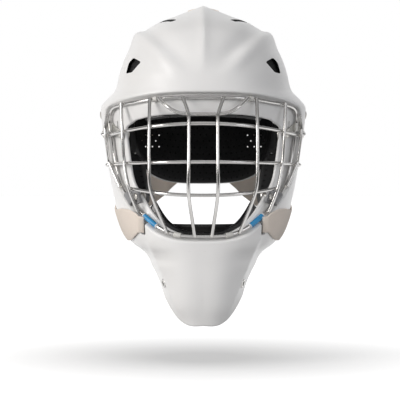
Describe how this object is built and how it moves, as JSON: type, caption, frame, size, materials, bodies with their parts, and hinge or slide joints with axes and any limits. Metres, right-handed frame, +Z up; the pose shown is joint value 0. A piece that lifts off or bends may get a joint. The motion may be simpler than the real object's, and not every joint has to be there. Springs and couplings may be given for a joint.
{
  "type": "hockey goalie mask",
  "caption": "Hard-shell sports face mask with a steel wire face cage, foam liner, chin cup on webbing, throat-guard eyelets and a hinged padded backplate on elastic straps.",
  "frame": {"origin": "centre of the head cavity, on the mask's middle plane", "axes": "+X to the wearer's left, +Y towards the back of the head, +Z up; the cage faces -Y"},
  "size_m": [0.243, 0.2929, 0.364],
  "materials": {
    "shell_white": "gloss",
    "cage_steel": "polished",
    "fitting_steel": "satin",
    "clip_plastic": "satin",
    "liner_foam": "matt",
    "sweat_fabric": "matt",
    "tab_blue": "gloss",
    "strap_elastic": "woven",
    "web_black": "woven",
    "cup_leather": "matt",
    "keeper_plastic": "satin"
  },
  "bodies": {
    "mask": {"mask_shell": "shell_white", "cage_rim_wire": "cage_steel", "cage_brow_wire": "cage_steel", "cage_horizontal_wires": "cage_steel", "cage_vertical_wires": "cage_steel", "cage_rim_sleeves": "clip_plastic", "upper_cage_clip_left": "clip_plastic", "upper_cage_clip_right": "clip_plastic", "lower_cage_clip_left": "clip_plastic", "lower_cage_clip_right": "clip_plastic", "cage_clip_screws": "fitting_steel", "cage_clip_nuts": "fitting_steel", "forehead_foam": "liner_foam", "crown_foam": "liner_foam", "temple_foam_left": "liner_foam", "temple_foam_right": "liner_foam", "jaw_foam_left": "liner_foam", "jaw_foam_right": "liner_foam", "sweatband": "sweat_fabric", "chin_pad": "liner_foam", "flange_tab_left": "tab_blue", "flange_tab_right": "tab_blue", "chin_snap_posts": "fitting_steel", "throat_guard_eyelets": "fitting_steel", "jaw_strap_left": "strap_elastic", "jaw_strap_right": "strap_elastic", "side_strap_left": "strap_elastic", "side_strap_right": "strap_elastic", "crown_strap": "strap_elastic", "shell_strap_rivets": "fitting_steel"},
    "backplate": {"backplate_shell": "shell_white", "backplate_foam": "liner_foam", "plate_strap_rivets": "fitting_steel"},
    "chin_cup": {"chin_cup": "cup_leather", "chin_web_left": "web_black", "chin_web_right": "web_black"},
    "crown_keeper": {"crown_strap_keeper": "keeper_plastic"}
  },
  "joints": [
    {"name": "backplate_tilt", "type": "hinge", "parent": "mask", "child": "backplate", "pos_m": [0, 0.045, 0.152], "axis": [1, 0, 0], "range_deg": [-4, 45], "stiffness_Nm_per_rad": 4, "deforming": ["jaw_strap_left", "jaw_strap_right", "side_strap_left", "side_strap_right", "crown_strap"]},
    {"name": "chin_cup_swing", "type": "hinge", "parent": "mask", "child": "chin_cup", "pos_m": [0, -0.04, -0.088], "axis": [1, 0, 0], "range_deg": [-6, 35]},
    {"name": "crown_keeper_slide", "type": "slide", "parent": "backplate", "child": "crown_keeper", "axis": [0, 0.9415, -0.3371], "range_m": [-0.008, 0.008]}
  ]
}
